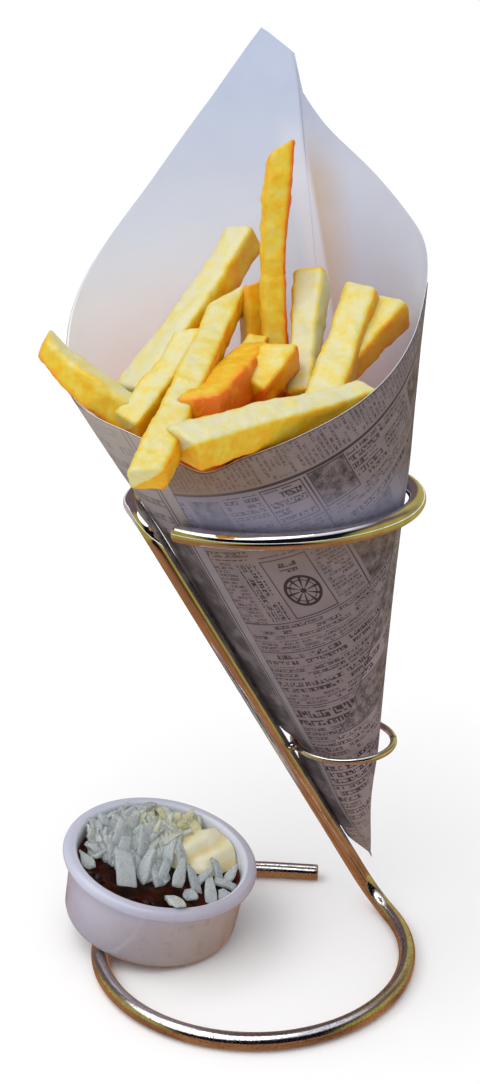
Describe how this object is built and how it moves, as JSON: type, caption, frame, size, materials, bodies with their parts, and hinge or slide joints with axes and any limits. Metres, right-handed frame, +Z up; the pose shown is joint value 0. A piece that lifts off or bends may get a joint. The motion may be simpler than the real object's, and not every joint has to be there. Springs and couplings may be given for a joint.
{
  "type": "french fries in a paper cone on a wire stand",
  "caption": "Fries in a printed paper cone, held upright by a bent chromed rod stand, with a white ramekin of dip and chopped onion leaning on its foot loop.",
  "frame": {"origin": "middle of the whole object's outline, on the table", "axes": "+Z up, +X to the right of the open front, +Y towards the tall back of the paper"},
  "size_m": [0.131, 0.1712, 0.3202],
  "materials": {
    "chromed_rod": "polished chrome plate",
    "printed_paper": "matt printed paper, white inside",
    "fried_potato": "crisp, slightly oily fried potato",
    "white_glaze": "glossy white glaze",
    "brown_sauce": "wet, glossy dark sauce",
    "mayonnaise": "smooth, creamy",
    "chopped_onion": "wet and translucent"
  },
  "bodies": {
    "root": {"stand_rod": "chromed_rod", "lower_ring": "chromed_rod", "paper_cone": "printed_paper", "fries": "fried_potato", "ramekin": "white_glaze", "brown_sauce": "brown_sauce", "mayonnaise": "mayonnaise", "chopped_onion": "chopped_onion"}
  },
  "joints": []
}
